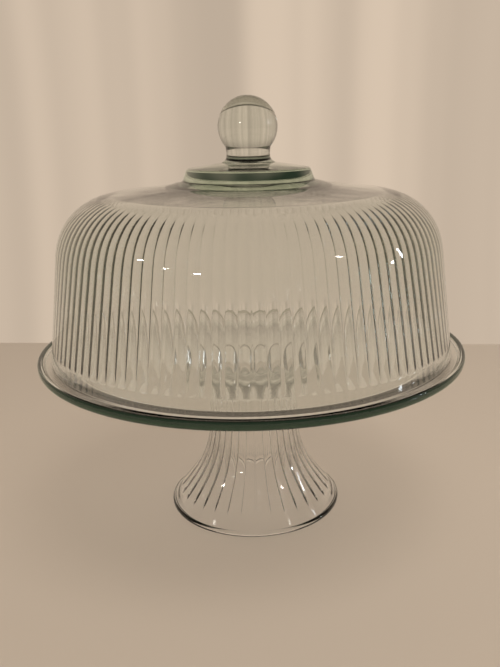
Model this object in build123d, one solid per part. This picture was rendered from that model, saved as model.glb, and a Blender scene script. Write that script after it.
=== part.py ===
"""Footed cake stand with a loose ribbed glass dome.

A thick pressed glass plate is fused to a hollow trumpet foot.  A dome with a solid collar and a solid
ball knob stands loose on the plate.  The outsides are smooth, and the ribs are pressed into the insides.
The inside of the dome leans in more than its outside, so its wall grows thicker towards the shoulder.
Millimetres, +Z up, origin on the axis at the level of the foot's base ring.
"""
from build123d import *

import os
from math import acos, atan2, cos, degrees, radians, sin, sqrt, tan

rib_root = 0.6

# plate
plate_radius = 152.5
plate_top = 122.5
plate_thickness = 6.0
lip_height = 2.3
lip_width = 4.5
rim_taper = 30.0
rim_underside_rise = 2.4
rim_underside_rounding = 3.4

# foot
foot_radius = 64.0
foot_ring_height = 4.6
foot_ring_width = 6.5
ring_chamfer = 0.8
waist_radius = 32.3
stem_top_radius = 38.0
hollow_height = 106.0
hollow_top_radius = 22.2
ceiling_rounding = 6.0
foot_rib_count = 32
foot_rib_width = 2.2
foot_rib_height = 1.2

# dome
dome_base_radius = 143.3
base_thickness = 4.2
outside_lean = 7.1
inside_lean = 13.0
shoulder_height = 108.0
outer_shoulder = 42.0
inner_shoulder = 32.0
top_slope = 7.2
top_thickness = 5.5
dome_rib_count = 112
dome_rib_width = 4.6
dome_rib_height = 0.85
plain_band = 10.0
rib_end_radius = 102.0
ceiling_flat_radius = 50.0

# collar and knob
collar_radius = 42.7
collar_flare = 3.2
collar_fillet_reach = 15.0
collar_top = 250.8
collar_crown = 3.7
neck_foot_radius = 18.5
neck_radius = 15.0
neck_flare = 0.6
knob_radius = 20.5
knob_centre = 278.4


def profile(corners):
    """Face in the XZ plane from (radius, height, corner rounding) points, taken round in order."""
    edges = []
    starts = []
    ends = []
    count = len(corners)
    for i in range(count):
        x, z, rounding = corners[i]
        here = Vector(x, 0, z)
        before = Vector(corners[i - 1][0], 0, corners[i - 1][1])
        after = Vector(corners[(i + 1) % count][0], 0, corners[(i + 1) % count][1])
        if rounding == 0:
            starts.append(here)
            ends.append(here)
            continue
        to_before = (before - here).normalized()
        to_after = (after - here).normalized()
        half = radians(to_before.get_angle(to_after)) / 2
        starts.append(here + to_before * (rounding / tan(half)))
        ends.append(here + to_after * (rounding / tan(half)))
        inwards = (to_before + to_after).normalized()
        middle = here + inwards * (rounding / sin(half) - rounding)
        edges.append(ThreePointArc(starts[-1], middle, ends[-1]))
    for i in range(count):
        following = (i + 1) % count
        if (ends[i] - starts[following]).length > 1e-6:
            edges.append(Line(ends[i], starts[following]))
    return make_face(Wire(edges))


def copies_round(rib, count):
    return [Rot(0, 0, 360 / count * i) * rib for i in range(count)]


def make_plate():
    underside = plate_top - plate_thickness
    lip_top = plate_top + lip_height
    rim = [
        (0, underside, 0),
        (plate_radius - rim_taper, underside, 40),
        (plate_radius, underside + rim_underside_rise, rim_underside_rounding),
        (plate_radius, lip_top, 1.4),
        (plate_radius - lip_width + 1.5, lip_top, 1.0),
        (plate_radius - lip_width - 1.0, plate_top, 2.0),
        (0, plate_top, 0),
    ]
    return revolve(profile(rim), axis=Axis.Z)


def make_foot():
    """Trumpet foot: a smooth outside, and a hollow with its ribs running down to near the base ring."""
    underside = plate_top - plate_thickness
    outer = Spline(
        (foot_radius - 1.6, 0, foot_ring_height),
        (50.0, 0, 20.0),
        (38.3, 0, 40.0),
        (waist_radius + 0.7, 0, 64.0),
        (waist_radius, 0, 84.0),
        (stem_top_radius, 0, underside),
        tangents=[(-0.8, 0, 1), (0.8, 0, 1)],
    )
    inner = Spline(
        (foot_radius - foot_ring_width, 0, ring_chamfer),
        (45.0, 0, 17.4),
        (32.2, 0, 38.0),
        (25.9, 0, 64.0),
        (23.8, 0, 84.0),
        (hollow_top_radius, 0, hollow_height - ceiling_rounding),
        tangents=[(-0.55, 0, 1), (-0.1, 0, 1)],
    )
    ring_inside = foot_radius - foot_ring_width
    ceiling_radius = hollow_top_radius - ceiling_rounding
    section = [
        Line((0, 0, underside), (stem_top_radius, 0, underside)),
        outer,
        Line(outer.position_at(0), (foot_radius, 0, foot_ring_height - 1.0)),
        Line((foot_radius, 0, foot_ring_height - 1.0), (foot_radius, 0, ring_chamfer)),
        Line((foot_radius, 0, ring_chamfer), (foot_radius - ring_chamfer, 0, 0)),
        Line((foot_radius - ring_chamfer, 0, 0), (ring_inside + ring_chamfer, 0, 0)),
        Line((ring_inside + ring_chamfer, 0, 0), inner.position_at(0)),
        inner,
        Line(inner.position_at(1), (ceiling_radius, 0, hollow_height)),
        Line((ceiling_radius, 0, hollow_height), (0, 0, hollow_height)),
        Line((0, 0, hollow_height), (0, 0, underside)),
    ]
    body = revolve(make_face(Wire(section)), axis=Axis.Z)
    return body.fuse(*copies_round(foot_rib(inner), foot_rib_count))


def foot_rib(inner):
    """One ridge swept up the hollow's wall, with its root sunk in the glass."""
    path = Wire(inner).edges()[0].trim(0.07, 0.97)
    plane = Plane(origin=path.position_at(0), x_dir=(0, 1, 0), z_dir=path.tangent_at(0))
    inwards = 1 if plane.y_dir.X < 0 else -1
    ridge = Polyline(
        (-foot_rib_width / 2, 0),
        (-foot_rib_width / 2, -rib_root * inwards),
        (foot_rib_width / 2, -rib_root * inwards),
        (foot_rib_width / 2, 0),
        (0, foot_rib_height * inwards),
        close=True,
    )
    return sweep(plane * make_face(ridge), path=path)


def outer_corner():
    """Where the outside's leaning wall and sloping top would meet."""
    return dome_base_radius - shoulder_height * tan(radians(outside_lean)), plate_top + shoulder_height


def inner_base_radius():
    return dome_base_radius - base_thickness / cos(radians(outside_lean))


def inner_corner():
    """Where the inside's leaning wall and sloping ceiling would meet."""
    slope = tan(radians(top_slope))
    lean = tan(radians(inside_lean))
    outer_r, outer_z = outer_corner()
    roof_z = outer_z - top_thickness / cos(radians(top_slope))
    radius = (inner_base_radius() - (roof_z - plate_top + outer_r * slope) * lean) / (1 - slope * lean)
    return radius, roof_z + (outer_r - radius) * slope


def make_dome():
    """Shell and solid collar in one pressing, with the ribs on the inside."""
    slope = tan(radians(top_slope))
    outer_r, outer_z = outer_corner()
    inner_r, inner_z = inner_corner()
    flare_r = collar_radius + collar_fillet_reach
    flare_z = outer_z + (outer_r - flare_r) * slope
    ceiling_z = inner_z + (inner_r - ceiling_flat_radius) * slope
    seat_z = collar_top + collar_crown
    section = [
        (inner_base_radius(), plate_top, 1.2),
        (dome_base_radius, plate_top, 1.4),
        (outer_r, outer_z, outer_shoulder),
        (flare_r, flare_z, 12),
        (collar_radius + collar_flare, flare_z + 2.8, 2.5),
        (collar_radius, collar_top, 0.8),
        (neck_foot_radius, seat_z, 0),
        (0, seat_z, 0),
        (0, ceiling_z, 0),
        (ceiling_flat_radius, ceiling_z, 8),
        (inner_r, inner_z, inner_shoulder),
    ]
    shell = revolve(profile(section), axis=Axis.Z)
    return shell.fuse(*copies_round(dome_rib(), dome_rib_count))


def dome_rib():
    """One rib, which starts above the plain band, climbs the inside wall and turns over the shoulder."""
    lean = radians(inside_lean)
    corner_r, corner_z = inner_corner()
    reach = inner_shoulder * tan(radians(90 - inside_lean - top_slope) / 2)
    wall_end = Vector(corner_r + reach * sin(lean), 0, corner_z - reach * cos(lean))
    start = Vector(inner_base_radius() - plain_band * tan(lean), 0, plate_top + plain_band)
    inwards = Vector(-cos(lean), 0, -sin(lean))
    centre = wall_end + inwards * inner_shoulder
    last = acos((rib_end_radius - centre.X) / inner_shoulder)

    def on_arc(angle, inset):
        return centre + Vector(cos(angle), 0, sin(angle)) * (inner_shoulder - inset)

    def side(inset):
        middle = on_arc((lean + last) / 2, inset)
        low = Line(start + inwards * inset, wall_end + inwards * inset)
        return [low, ThreePointArc(wall_end + inwards * inset, middle, on_arc(last, inset))]

    root = side(-rib_root)
    crest = side(dome_rib_height)
    foot_end = Line(root[0].position_at(0), crest[0].position_at(0))
    top_end = Line(root[1].position_at(1), crest[1].position_at(1))
    outline = make_face(Wire([*root, *crest, foot_end, top_end]))
    return extrude(outline, dome_rib_width / 2, both=True)


def make_knob():
    seat_z = collar_top + collar_crown
    neck_top_radius = neck_radius + neck_flare
    neck_top = knob_centre - sqrt(knob_radius**2 - neck_top_radius**2)
    neck = Spline(
        (neck_foot_radius, 0, seat_z),
        (neck_radius, 0, (seat_z + neck_top) / 2 + 1.0),
        (neck_top_radius, 0, neck_top),
        tangents=[(-1, 0, 0.5), (0.75, 0, 0.75)],
    )
    start_angle = degrees(atan2(neck_top - knob_centre, neck_top_radius))
    ball = CenterArc((0, 0), knob_radius, start_angle, 90 - start_angle)
    ball = Plane(origin=(0, 0, knob_centre), x_dir=(1, 0, 0), z_dir=(0, -1, 0)) * ball
    outline = [
        Line((0, 0, seat_z), (neck_foot_radius, 0, seat_z)),
        neck,
        ball,
        Line((0, 0, knob_centre + knob_radius), (0, 0, seat_z)),
    ]
    return revolve(make_face(Wire(outline)), axis=Axis.Z)


os.makedirs("parts", exist_ok=True)
export_step(make_plate(), "parts/cake_plate.step")
export_step(make_foot(), "parts/pedestal_foot.step")
export_step(make_dome(), "parts/dome_shell.step")
export_step(make_knob(), "parts/dome_knob.step")
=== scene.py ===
"""Footed cake stand with a loose ribbed glass dome, all of it pressed soda-lime glass."""
import math

import bpy
import numpy as np
from mathutils import Matrix, Vector


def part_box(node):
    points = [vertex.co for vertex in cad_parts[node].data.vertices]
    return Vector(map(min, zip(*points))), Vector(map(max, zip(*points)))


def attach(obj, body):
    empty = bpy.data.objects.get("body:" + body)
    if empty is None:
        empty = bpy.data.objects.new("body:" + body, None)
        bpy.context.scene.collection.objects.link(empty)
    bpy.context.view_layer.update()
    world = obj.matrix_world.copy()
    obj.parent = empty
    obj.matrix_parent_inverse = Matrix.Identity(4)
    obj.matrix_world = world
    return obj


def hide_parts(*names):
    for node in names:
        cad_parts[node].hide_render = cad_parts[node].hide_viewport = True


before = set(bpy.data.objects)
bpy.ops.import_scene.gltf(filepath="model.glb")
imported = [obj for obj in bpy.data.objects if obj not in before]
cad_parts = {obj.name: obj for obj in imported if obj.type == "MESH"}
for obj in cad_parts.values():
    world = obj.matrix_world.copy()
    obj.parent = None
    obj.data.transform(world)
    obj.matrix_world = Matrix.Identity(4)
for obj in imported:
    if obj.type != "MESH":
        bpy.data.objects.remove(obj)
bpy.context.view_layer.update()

# ---------------------------------------------------------------------------------------------------
# Cake plate.
# One thick disc of pressed glass with a low lip round its edge.  It comes out of the mould with a
# skin that is very slightly uneven, and a flame polishes every corner soft.  The iron in the glass
# shows as dark green where the eye looks the long way through the edge, and a painted green glow,
# an emission, lights the very rim.
# ---------------------------------------------------------------------------------------------------
MM = 0.001


def outline(corners, degrees_a_step=6.0):
    """Points in millimetres along a run of (radius, height, rounding) corners."""
    points = []
    for i, (x, z, rounding) in enumerate(corners):
        here = np.array([x, z], float)
        if rounding == 0 or i in (0, len(corners) - 1):
            points.append(here)
            continue
        before = np.array(corners[i - 1][:2], float) - here
        after = np.array(corners[i + 1][:2], float) - here
        before /= np.linalg.norm(before)
        after /= np.linalg.norm(after)
        half = math.acos(np.clip(before @ after, -1, 1)) / 2
        reach = rounding / math.tan(half)
        inwards = (before + after) / np.linalg.norm(before + after)
        centre = here + inwards * (rounding / math.sin(half))
        first = here + before * reach - centre
        last = here + after * reach - centre
        turn = math.pi - 2 * half
        steps = max(3, round(math.degrees(turn) / degrees_a_step))
        for k in range(steps + 1):
            t = k / steps
            ray = (first * math.sin((1 - t) * turn) + last * math.sin(t * turn)) / math.sin(turn)
            points.append(centre + ray)
    return np.array(points)


def turned(name, points, around, relief=None, share=None):
    """Mesh turned about the upright axis.  relief is a height for each step round, and share says how
    much of it each point of the outline takes, square to the outline."""
    angles = np.arange(around) * 2 * math.pi / around
    ahead = np.gradient(points, axis=0)
    ahead /= np.linalg.norm(ahead, axis=1)[:, None] + 1e-12
    relief = np.zeros(around) if relief is None else relief
    share = np.zeros(len(points)) if share is None else share
    verts = []
    rows = []
    for (r, z), (along_r, along_z), part in zip(points, ahead, share):
        if r < 1e-6:
            rows.append([len(verts)])
            verts.append((0.0, 0.0, z * MM))
            continue
        radius = (r + along_z * relief * part) * MM
        height = (z - along_r * relief * part) * MM
        rows.append(range(len(verts), len(verts) + around))
        verts.extend(np.stack([radius * np.sin(angles), -radius * np.cos(angles), height], axis=1).tolist())
    faces = []
    for low, high in zip(rows[:-1], rows[1:]):
        for k in range(around):
            n = (k + 1) % around
            if len(low) == 1:
                faces.append((low[0], high[n], high[k]))
            elif len(high) == 1:
                faces.append((low[k], low[n], high[0]))
            else:
                faces.append((low[k], low[n], high[n], high[k]))
    mesh = bpy.data.meshes.new(name)
    mesh.from_pydata(verts, [], faces)
    mesh.shade_smooth()
    piece = bpy.data.objects.new(name, mesh)
    bpy.context.scene.collection.objects.link(piece)
    return piece


def number_inputs(group, defaults):
    """Gives a node group one number input for each label."""
    for label, default in defaults.items():
        socket = group.interface.new_socket(label, in_out="INPUT", socket_type="NodeSocketFloat")
        socket.default_value = default


def pressed_skin():
    """Node group for the skin of pressed glass: long soft waves with fine chill marks on them, and a
    film that dulls the high places a little."""
    group = bpy.data.node_groups.new("pressed_skin", "ShaderNodeTree")
    number_inputs(group, {"Wave Size": 60.0, "Chill Size": 420.0, "Chill Share": 0.15, "Dullness": 0.0})
    group.interface.new_socket("Height", in_out="OUTPUT", socket_type="NodeSocketFloat")
    group.interface.new_socket("Roughness", in_out="OUTPUT", socket_type="NodeSocketFloat")
    nodes = group.nodes
    links = group.links
    inputs = nodes.new("NodeGroupInput")
    outputs = nodes.new("NodeGroupOutput")
    place = nodes.new("ShaderNodeTexCoord")
    waves = nodes.new("ShaderNodeTexNoise")
    waves.inputs["Detail"].default_value = 1.0
    chill = nodes.new("ShaderNodeTexNoise")
    chill.inputs["Detail"].default_value = 3.0
    links.new(place.outputs["Object"], waves.inputs["Vector"])
    links.new(place.outputs["Object"], chill.inputs["Vector"])
    links.new(inputs.outputs["Wave Size"], waves.inputs["Scale"])
    links.new(inputs.outputs["Chill Size"], chill.inputs["Scale"])
    fine = nodes.new("ShaderNodeMath")
    fine.operation = "MULTIPLY_ADD"
    links.new(chill.outputs["Fac"], fine.inputs[0])
    links.new(inputs.outputs["Chill Share"], fine.inputs[1])
    links.new(waves.outputs["Fac"], fine.inputs[2])
    links.new(fine.outputs[0], outputs.inputs["Height"])
    film = nodes.new("ShaderNodeMapRange")
    film.inputs["From Min"].default_value = 0.5
    film.inputs["From Max"].default_value = 0.8
    film.inputs["To Min"].default_value = 0.0
    links.new(waves.outputs["Fac"], film.inputs["Value"])
    links.new(inputs.outputs["Dullness"], film.inputs["To Max"])
    links.new(film.outputs[0], outputs.inputs["Roughness"])
    return group


skin_group = pressed_skin()


def glass(name, tint, strength, wave_size=45.0, unevenness=0.00004, dullness=0.03):
    """Pressed glass.  tint is the colour that the thickness lets through, strength is per metre, and
    unevenness is the height of the skin's waves in metres."""
    material = bpy.data.materials.new(name)
    material.use_nodes = True
    nodes = material.node_tree.nodes
    links = material.node_tree.links
    shader = nodes["Principled BSDF"]
    shader.inputs["Base Color"].default_value = (1, 1, 1, 1)
    shader.inputs["IOR"].default_value = 1.52
    shader.inputs["Transmission Weight"].default_value = 1.0
    skin = nodes.new("ShaderNodeGroup")
    skin.node_tree = skin_group
    skin.inputs["Wave Size"].default_value = wave_size
    skin.inputs["Dullness"].default_value = dullness
    bump = nodes.new("ShaderNodeBump")
    bump.inputs["Strength"].default_value = 1.0
    bump.inputs["Distance"].default_value = unevenness
    links.new(skin.outputs["Height"], bump.inputs["Height"])
    links.new(bump.outputs["Normal"], shader.inputs["Normal"])
    links.new(skin.outputs["Roughness"], shader.inputs["Roughness"])
    body = nodes.new("ShaderNodeVolumeAbsorption")
    body.inputs["Color"].default_value = (*tint, 1)
    body.inputs["Density"].default_value = strength
    links.new(body.outputs[0], nodes["Material Output"].inputs["Volume"])
    return material


def stand_for(piece, node, body, material):
    """Puts a finished piece in the place of a node of the frame."""
    piece.data.materials.append(material)
    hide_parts(node)
    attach(piece, body)


plate_low, plate_high = (np.array(corner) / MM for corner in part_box("cake_plate"))
plate_radius = plate_high[0]
plate_under = plate_low[2]
lip_top = plate_high[2]
lip_height = 2.3
lip_crest = 3.0
lip_width = 5.5
plate_top = lip_top - lip_height
rim_taper = 30.0
rim_rise = 2.4
plate_around = 320

plate_outline = outline([
    (0, plate_under, 0),
    (plate_radius - rim_taper, plate_under, 40),
    (plate_radius, plate_under + rim_rise, 3.4),
    (plate_radius, lip_top, 1.4),
    (plate_radius - lip_crest, lip_top, 1.0),
    (plate_radius - lip_width, plate_top, 2.0),
    (0, plate_top, 0),
])
plate = turned("cake_plate_glass", plate_outline, plate_around)
plate_material = glass("plate_glass", (0.40, 0.54, 0.42), 24.0)
stand_for(plate, "cake_plate", "stand", plate_material)


def painted_edge_glow():
    """Node group for a painted glow on thick glass edges: an emission, not a lamp, that stands in for
    light which ran along inside the glass and comes out faint green.  Position runs from 0 at the start
    of the edge to 1 at its end, and Patchy mixes in lighter patches of the painted glow."""
    group = bpy.data.node_groups.new("painted_edge_glow", "ShaderNodeTree")
    number_inputs(group, {"Position": 0.0, "Patch Size": 26.0, "Patchy": 0.0})
    group.interface.new_socket("Glow", in_out="OUTPUT", socket_type="NodeSocketColor")
    nodes = group.nodes
    links = group.links
    inputs = nodes.new("NodeGroupInput")
    outputs = nodes.new("NodeGroupOutput")
    place = nodes.new("ShaderNodeTexCoord")
    patches = nodes.new("ShaderNodeTexNoise")
    patches.inputs["Detail"].default_value = 1.0
    lit = nodes.new("ShaderNodeMapRange")
    lit.interpolation_type = "SMOOTHSTEP"
    lit.inputs["From Min"].default_value = 0.40
    lit.inputs["From Max"].default_value = 0.60
    # Colours of the painted glow: dark green, with lighter patches mixed in.
    tone = nodes.new("ShaderNodeMix")
    tone.data_type = "RGBA"
    tone.inputs["A"].default_value = (0.014, 0.026, 0.014, 1)
    tone.inputs["B"].default_value = (0.10, 0.098, 0.066, 1)
    band = nodes.new("ShaderNodeValToRGB")
    band.color_ramp.elements[0].color = (0, 0, 0, 1)
    band.color_ramp.elements[1].color = (0, 0, 0, 1)
    for full_glow in (0.3, 0.85):
        band.color_ramp.elements.new(full_glow).color = (1, 1, 1, 1)
    glow = nodes.new("ShaderNodeMix")
    glow.data_type = "RGBA"
    glow.blend_type = "MULTIPLY"
    glow.inputs["Factor"].default_value = 1.0
    links.new(place.outputs["Object"], patches.inputs["Vector"])
    links.new(inputs.outputs["Patch Size"], patches.inputs["Scale"])
    links.new(patches.outputs["Fac"], lit.inputs["Value"])
    links.new(inputs.outputs["Patchy"], lit.inputs["To Max"])
    links.new(lit.outputs[0], tone.inputs["Factor"])
    links.new(inputs.outputs["Position"], band.inputs["Fac"])
    links.new(tone.outputs["Result"], glow.inputs["A"])
    links.new(band.outputs["Color"], glow.inputs["B"])
    links.new(glow.outputs["Result"], outputs.inputs["Glow"])
    return group


painted_glow_group = painted_edge_glow()


def add_painted_edge_glow(material, axis_share, start, end, patchy=0.0):
    """Adds the painted edge glow, an emission, where the reach along the chosen axes lies between start and
    end, in millimetres.
    """
    nodes = material.node_tree.nodes
    links = material.node_tree.links
    place = nodes.new("ShaderNodeTexCoord")
    chosen = nodes.new("ShaderNodeVectorMath")
    chosen.operation = "MULTIPLY"
    chosen.inputs[1].default_value = axis_share
    reach = nodes.new("ShaderNodeVectorMath")
    reach.operation = "LENGTH"
    edge = nodes.new("ShaderNodeMapRange")
    edge.inputs["From Min"].default_value = start * MM
    edge.inputs["From Max"].default_value = end * MM
    glow = nodes.new("ShaderNodeGroup")
    glow.node_tree = painted_glow_group
    glow.inputs["Patchy"].default_value = patchy
    links.new(place.outputs["Object"], chosen.inputs[0])
    links.new(chosen.outputs["Vector"], reach.inputs[0])
    links.new(reach.outputs["Value"], edge.inputs["Value"])
    links.new(edge.outputs[0], glow.inputs["Position"])
    # The painted glow goes into the glass as emission.
    links.new(glow.outputs["Glow"], nodes["Principled BSDF"].inputs["Emission Color"])
    nodes["Principled BSDF"].inputs["Emission Strength"].default_value = 1.0


# The plate's painted glow is at its full strength on the very rim, so its band ends outside the glass.
plate_glow_inset = 1.6
plate_glow_past = 3.0
add_painted_edge_glow(plate_material, (1, 1, 0), plate_radius - plate_glow_inset, plate_radius + plate_glow_past)

# ---------------------------------------------------------------------------------------------------
# Pedestal foot.
# A hollow trumpet of the same glass, pressed with flutes up its inside and fused to the plate's
# underside while hot.  The flutes widen with the foot and stop short of the ring it stands on.
# ---------------------------------------------------------------------------------------------------


def flowing(stations, steps):
    """A smooth line through (radius, height) stations, by centripetal Catmull-Rom."""
    p = np.array(stations, float)
    p = np.vstack([2 * p[0] - p[1], p, 2 * p[-1] - p[-2]])
    knots = np.concatenate([[0], np.cumsum(np.sqrt(np.linalg.norm(np.diff(p, axis=0), axis=1)))])
    out = []
    for i in range(1, len(p) - 2):
        a, b, c, d = knots[i - 1 : i + 3]
        for t in np.linspace(b, c, steps, endpoint=False):
            m1 = (b - t) / (b - a) * p[i - 1] + (t - a) / (b - a) * p[i]
            m2 = (c - t) / (c - b) * p[i] + (t - b) / (c - b) * p[i + 1]
            m3 = (d - t) / (d - c) * p[i + 1] + (t - c) / (d - c) * p[i + 2]
            n1 = (c - t) / (c - a) * m1 + (t - a) / (c - a) * m2
            n2 = (d - t) / (d - b) * m2 + (t - b) / (d - b) * m3
            out.append((c - t) / (c - b) * n1 + (t - b) / (c - b) * n2)
    out.append(p[-2])
    return np.array(out)


foot_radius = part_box("pedestal_foot")[1][0] / MM
joint_gap = 0.05
stem_top = plate_under - joint_gap
stem_top_radius = 38.0
hollow_height = 106.0
hollow_top_radius = 22.2
ceiling_start = 98.5
flutes = 32
steps_a_flute = 18

# A flute is as deep as this share of the radius where it runs.  A fullness under 1 makes its back rounder
# and the valley beside it sharper.
flute_depth_share = 0.0305
flute_fullness = 0.6
flutes_start = 6.0
flutes_end = 104.5
flute_fade = 6.0

foot_inside = flowing([
    (57.4, 0.9),
    (52.0, 8.2),
    (45.0, 17.4),
    (37.9, 27.4),
    (32.2, 38.0),
    (28.3, 50.5),
    (25.9, 64.0),
    (23.8, 84.0),
    (hollow_top_radius, ceiling_start),
], 7)
foot_outside = flowing([
    (62.4, 4.6),
    (57.0, 11.2),
    (50.0, 20.0),
    (43.2, 30.0),
    (38.3, 40.0),
    (34.9, 51.0),
    (33.0, 64.0),
    (32.3, 84.0),
    (33.6, 104.0),
    (stem_top_radius, stem_top),
], 7)
ceiling = outline([
    (10, hollow_height, 0),
    (hollow_top_radius - 0.4, hollow_height - 0.4, 6.0),
    (hollow_top_radius, ceiling_start, 0),
], 12)[:-1]
base_ring = outline([
    (57.4, 0.9, 0),
    (58.4, 0.05, 0.8),
    (foot_radius, 0.05, 2.2),
    (foot_radius, 4.4, 1.8),
    (62.4, 4.6, 0),
], 12)[1:-1]
foot_points = np.vstack([
    [(0, hollow_height)],
    ceiling,
    foot_inside[::-1],
    base_ring,
    foot_outside,
    [(0, stem_top)],
])
foot_around = flutes * steps_a_flute
flute_round = np.abs(np.sin(np.arange(foot_around) * math.pi / steps_a_flute)) ** flute_fullness
foot_relief = flute_depth_share * flute_round
inside_rows = len(ceiling) + len(foot_inside) + 1
foot_height = foot_points[:, 1]
flutes_rise = np.clip((foot_height - flutes_start) / flute_fade, 0, 1)
flutes_die = np.clip((flutes_end - foot_height) / flute_fade, 0, 1)
foot_share = flutes_rise * flutes_die
foot_share *= foot_points[:, 0]
foot_share[inside_rows:] = 0
foot = turned("pedestal_foot_glass", foot_points, foot_around, foot_relief, foot_share)
stand_for(foot, "pedestal_foot", "stand", glass("foot_glass", (0.5, 0.60, 0.52), 6.0))

# ---------------------------------------------------------------------------------------------------
# Dome shell.
# One heavy pressing with a smooth outside.  The plunger left rounded ribs up the inside wall and over
# the shoulder, and a plain band at the bottom.  The wall grows thicker towards the shoulder, and the
# crown carries a solid collar.  It stands loose on the plate.
# ---------------------------------------------------------------------------------------------------
base_radius = 143.3
base_thickness = 4.2
outside_lean = math.tan(math.radians(7.1))
inside_lean = math.tan(math.radians(13.0))
top_slope = math.tan(math.radians(7.2))
shoulder_height = 108.0
outer_shoulder = 42.0
inner_shoulder = 32.0
top_thickness = 5.5
ceiling_flat_radius = 50.0
ribs = 112
steps_a_rib = 10
rib_height = 0.88
rib_fullness = 0.8
plain_band = 10.0
rib_start_fade = 3.0
rib_end_radius = 104.0
rib_end_fade = 5.0
collar_radius = 42.7
collar_top = 250.8
collar_flare = 3.2
flare_reach = 15.0
flare_rise = 2.8
neck_foot_radius = 18.5
standing_gap = 0.02
bottom = plate_top + standing_gap

inner_base = base_radius - base_thickness * math.hypot(1, outside_lean)
outer_r = base_radius - shoulder_height * outside_lean
outer_z = plate_top + shoulder_height
roof = outer_z - top_thickness * math.hypot(1, top_slope)
inner_r = inner_base - (roof - plate_top + outer_r * top_slope) * inside_lean
inner_r /= 1 - top_slope * inside_lean
inner_z = roof + (outer_r - inner_r) * top_slope
ceiling_z = inner_z + (inner_r - ceiling_flat_radius) * top_slope
flare_r = collar_radius + flare_reach
flare_z = outer_z + (outer_r - flare_r) * top_slope
seat_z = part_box("dome_shell")[1][2] / MM
base_middle = (inner_base + base_radius) / 2

dome_inside = outline([
    (0, ceiling_z, 0),
    (ceiling_flat_radius, ceiling_z, 8),
    (inner_r, inner_z, inner_shoulder),
    (inner_base, bottom, 1.2),
    (base_middle, bottom, 0),
], 5.5)
dome_outside = outline([
    (base_middle, bottom, 0),
    (base_radius, bottom, 1.4),
    (outer_r, outer_z, outer_shoulder),
    (flare_r, flare_z, 12),
    (collar_radius + collar_flare, flare_z + flare_rise, 2.5),
    (collar_radius, collar_top, 2.6),
    (neck_foot_radius, seat_z, 0),
    (0, seat_z, 0),
], 8.0)

# The straight wall takes extra rows, close together where the ribs run out above the plain band.
# The wall is the longest run outside the ceiling.
gaps = np.linalg.norm(np.diff(dome_inside, axis=0), axis=1)
wall_run = int(np.argmax(np.where(dome_inside[1:, 0] > rib_end_radius, gaps, 0)))
wall_top, wall_foot = dome_inside[wall_run], dome_inside[wall_run + 1]
places_down_wall = np.concatenate([[0.3, 0.6, 0.8], np.linspace(0.87, 0.93, 6)])[:, None]
dome_inside = np.vstack([
    dome_inside[: wall_run + 1],
    wall_top + (wall_foot - wall_top) * places_down_wall,
    dome_inside[wall_run + 1 :],
])
dome_points = np.vstack([dome_inside, dome_outside[1:]])
dome_around = ribs * steps_a_rib
rib_round = np.abs(np.sin(np.arange(dome_around) * math.pi / steps_a_rib)) ** rib_fullness
dome_relief = rib_height * rib_round
ribs_rise = np.clip((dome_points[:, 1] - plate_top - plain_band) / rib_start_fade, 0, 1)
ribs_end = np.clip((dome_points[:, 0] - rib_end_radius) / rib_end_fade, 0, 1)
dome_share = ribs_rise * ribs_end
dome_share[len(dome_inside) :] = 0
dome = turned("dome_shell_glass", dome_points, dome_around, dome_relief, dome_share)
dome_material = glass("dome_glass", (0.44, 0.54, 0.40), 14.0)
stand_for(dome, "dome_shell", "dome", dome_material)
# A painted glow, an emission, lights the collar's side faint green with lighter patches.
add_painted_edge_glow(dome_material, (0, 0, 1), flare_z + flare_rise, collar_top + 0.4, patchy=1.0)

# ---------------------------------------------------------------------------------------------------
# Knob.
# A solid ball on a short neck, fire-polished clear, and fused to the collar.
# ---------------------------------------------------------------------------------------------------
knob_radius = 20.5
neck_radius = 15.0
neck_top_radius = 15.6
knob_around = 160
knob_foot = seat_z + joint_gap

knob_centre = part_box("dome_knob")[1][2] / MM - knob_radius
neck_top = knob_centre - math.sqrt(knob_radius**2 - neck_top_radius**2)
neck = flowing([
    (neck_foot_radius, knob_foot),
    (neck_top_radius, seat_z + 2.6),
    (neck_radius, (seat_z + neck_top) / 2 + 1.0),
    (neck_top_radius, neck_top),
], 6)
ball_start = math.atan2(neck_top - knob_centre, neck_top_radius)
ball_angles = np.linspace(ball_start, math.pi / 2, 56)[1:]
ball = np.stack([np.cos(ball_angles), np.sin(ball_angles)], axis=1) * knob_radius + (0, knob_centre)
ball[-1, 0] = 0
knob = turned("dome_knob_glass", np.vstack([[(0, knob_foot)], neck, ball]), knob_around)
stand_for(knob, "dome_knob", "dome", glass("knob_glass", (0.46, 0.56, 0.44), 11.0))

# ---------------------------------------------------------------------------------------------------
# Fused joints.
# The foot and the knob were put on hot, so the glass runs on from piece to piece.  The faces that meet
# there are clear, and nothing of the joint shows.
# ---------------------------------------------------------------------------------------------------
fused = bpy.data.materials.new("fused_joint")
fused.use_nodes = True
clear = fused.node_tree.nodes.new("ShaderNodeBsdfTransparent")
fused.node_tree.links.new(clear.outputs[0], fused.node_tree.nodes["Material Output"].inputs["Surface"])

for piece, joint_height, joint_radius in (
    (plate, plate_under, stem_top_radius),
    (foot, stem_top, stem_top_radius),
    (dome, seat_z, neck_foot_radius),
    (knob, knob_foot, neck_foot_radius),
):
    piece.data.materials.append(fused)
    for face in piece.data.polygons:
        corners = [piece.data.vertices[i].co / MM for i in face.vertices]
        level = all(abs(corner.z - joint_height) < 0.001 for corner in corners)
        if level and all(math.hypot(corner.x, corner.y) < joint_radius + 0.01 for corner in corners):
            face.material_index = 1

# ---------------------------------------------------------------------------------------------------
# Table.
# A pale cloth-covered table, plain and slightly rough, with its far edge a little out of square.
# ---------------------------------------------------------------------------------------------------
scene = bpy.context.scene
table_half = 2.5
table_front = -2.0
table_back = 0.41
table_skew = -0.088

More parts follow.
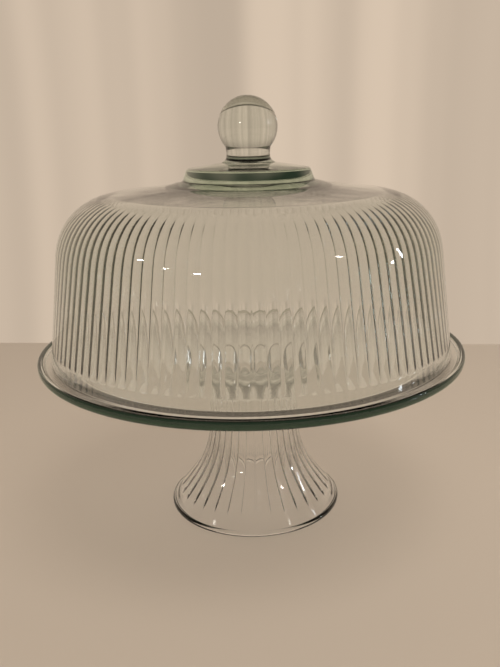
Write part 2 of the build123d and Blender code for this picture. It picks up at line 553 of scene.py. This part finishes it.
table_mesh = bpy.data.meshes.new("table")
table_mesh.from_pydata([
    (-table_half, table_front, 0),
    (table_half, table_front, 0),
    (table_half, table_back + table_half * table_skew, 0),
    (-table_half, table_back - table_half * table_skew, 0),
], [], [(0, 1, 2, 3)])
table = bpy.data.objects.new("table", table_mesh)
scene.collection.objects.link(table)
cloth = bpy.data.materials.new("table_cloth")
cloth.use_nodes = True
cloth_shader = cloth.node_tree.nodes["Principled BSDF"]
cloth_shader.inputs["Base Color"].default_value = (0.66, 0.57, 0.48, 1)
cloth_shader.inputs["Roughness"].default_value = 0.85
table_mesh.materials.append(cloth)

# ---------------------------------------------------------------------------------------------------
# Room.
# A plain warm room: pale behind the stand, with the soft folds of a drape, and dimmer overhead, to the
# sides and behind the camera, which draws the dark lines in the glass.
# ---------------------------------------------------------------------------------------------------
room = bpy.data.worlds.new("room")
room.use_nodes = True
scene.world = room
scene.view_settings.view_transform = "Standard"
room_nodes = room.node_tree.nodes
room_links = room.node_tree.links
where = room_nodes.new("ShaderNodeTexCoord")
split = room_nodes.new("ShaderNodeSeparateXYZ")
room_links.new(where.outputs["Generated"], split.inputs[0])


def ramp(source, start, end, low, high):
    """A smooth change from low to high as the source goes from start to end."""
    node = room_nodes.new("ShaderNodeMapRange")
    node.interpolation_type = "SMOOTHSTEP"
    node.inputs["From Min"].default_value = start
    node.inputs["From Max"].default_value = end
    node.inputs["To Min"].default_value = low
    node.inputs["To Max"].default_value = high
    room_links.new(source, node.inputs["Value"])
    return node.outputs[0]


def times(first, second):
    """The product of two values."""
    node = room_nodes.new("ShaderNodeMath")
    node.operation = "MULTIPLY"
    room_links.new(first, node.inputs[0])
    room_links.new(second, node.inputs[1])
    return node.outputs[0]


drape = room_nodes.new("ShaderNodeTexNoise")
drape.noise_dimensions = "1D"
drape.inputs["Scale"].default_value = 9.0
drape.inputs["Detail"].default_value = 1.5
room_links.new(split.outputs["X"], drape.inputs["W"])
behind = ramp(split.outputs["Y"], 0.05, 0.75, 0.30, 1.0)
overhead = ramp(split.outputs["Z"], 0.22, 0.75, 1.0, 0.5)
folds = ramp(drape.outputs["Fac"], 0.3, 0.7, 0.86, 1.14)
background = room_nodes["Background"]
background.inputs["Color"].default_value = (0.60, 0.485, 0.375, 1)
room_links.new(times(times(behind, overhead), folds), background.inputs["Strength"])

# ---------------------------------------------------------------------------------------------------
# Lamps.
# Three large soft lamps light the table, and a window and a few small lamps give the streaks and sparks
# on the glass.  Only one casts the glass's shadow, because clear glass hardly shades what is under it.
# ---------------------------------------------------------------------------------------------------
table_only = bpy.data.collections.new("shadow_makers")
table_only.objects.link(table)
aim = Vector((0, 0, 0.17))


def lamp(name, turn, rise, distance, size, power, colour, shows=True, shades=False):
    """Lamp at a turn from the front towards the right and a rise above level, in degrees.  One that
    shows is seen in the glass, and one that shades casts the glass's shadow too."""
    turn, rise = math.radians(turn), math.radians(rise)
    away = Vector((math.sin(turn) * math.cos(rise), -math.cos(turn) * math.cos(rise), math.sin(rise)))
    light = bpy.data.lights.new(name, "AREA")
    light.shape = "RECTANGLE"
    light.size, light.size_y = size
    light.energy = power
    light.color = colour
    holder = bpy.data.objects.new(name, light)
    holder.location = aim + away * distance
    holder.rotation_euler = (-away).to_track_quat("-Z", "Y").to_euler()
    holder.visible_camera = False
    holder.visible_glossy = shows
    holder.visible_transmission = shows
    if not shades:
        holder.light_linking.blocker_collection = table_only
    scene.collection.objects.link(holder)


warm = (1.0, 0.93, 0.84)
cool = (0.86, 0.93, 1.0)
lamp("ceiling", -30, 80, 2.3, (2.2, 2.2), 21, warm, shows=False)
lamp("ceiling_shade", 40, 72, 2.3, (1.2, 1.2), 8, warm, shows=False, shades=True)
lamp("daylight", 70, 35, 2.2, (1.2, 1.2), 10, warm, shows=False)
lamp("window", 92, 14, 1.8, (0.05, 0.34), 1.6, cool)
lamp("spark_left", -65.5, 24.5, 2.5, (0.18, 0.07), 2.6, warm)
lamp("spark_right", 84, 8, 2.5, (0.09, 0.09), 2.6, cool)
lamp("spark_high", 53, 29, 2.5, (0.18, 0.07), 2.6, warm)
lamp("spark_near", -29, 15.7, 2.5, (0.16, 0.05), 2.0, warm)
lamp("spark_low", -47, 18.5, 2.5, (0.14, 0.05), 1.6, warm)

# ---------------------------------------------------------------------------------------------------
# Camera.
# A hand-held view from the height of the knob's middle, looking down, a little off centre and not quite
# level.
# ---------------------------------------------------------------------------------------------------
away = 0.5243
eye_height = 0.2816
pitch, yaw, roll = math.radians(16.02), math.radians(-1.386), math.radians(-0.889)

camera_data = bpy.data.cameras.new("camera")
camera = bpy.data.objects.new("camera", camera_data)
scene.collection.objects.link(camera)
scene.camera = camera
forward = Vector((-math.sin(yaw) * math.cos(pitch), math.cos(yaw) * math.cos(pitch), -math.sin(pitch)))
right = Vector((math.cos(yaw), math.sin(yaw), 0))
up = right.cross(forward)
level_right = right * math.cos(roll) + up * math.sin(roll)
level_up = up * math.cos(roll) - right * math.sin(roll)
axes = Matrix((level_right, level_up, -forward)).transposed()
camera.matrix_world = Matrix.Translation((0, -away, eye_height)) @ axes.to_4x4()
camera_data.sensor_fit = "VERTICAL"
camera_data.sensor_height = 36
camera_data.lens = 39.94
camera_data.shift_x = -0.029
camera_data.clip_start = 0.01
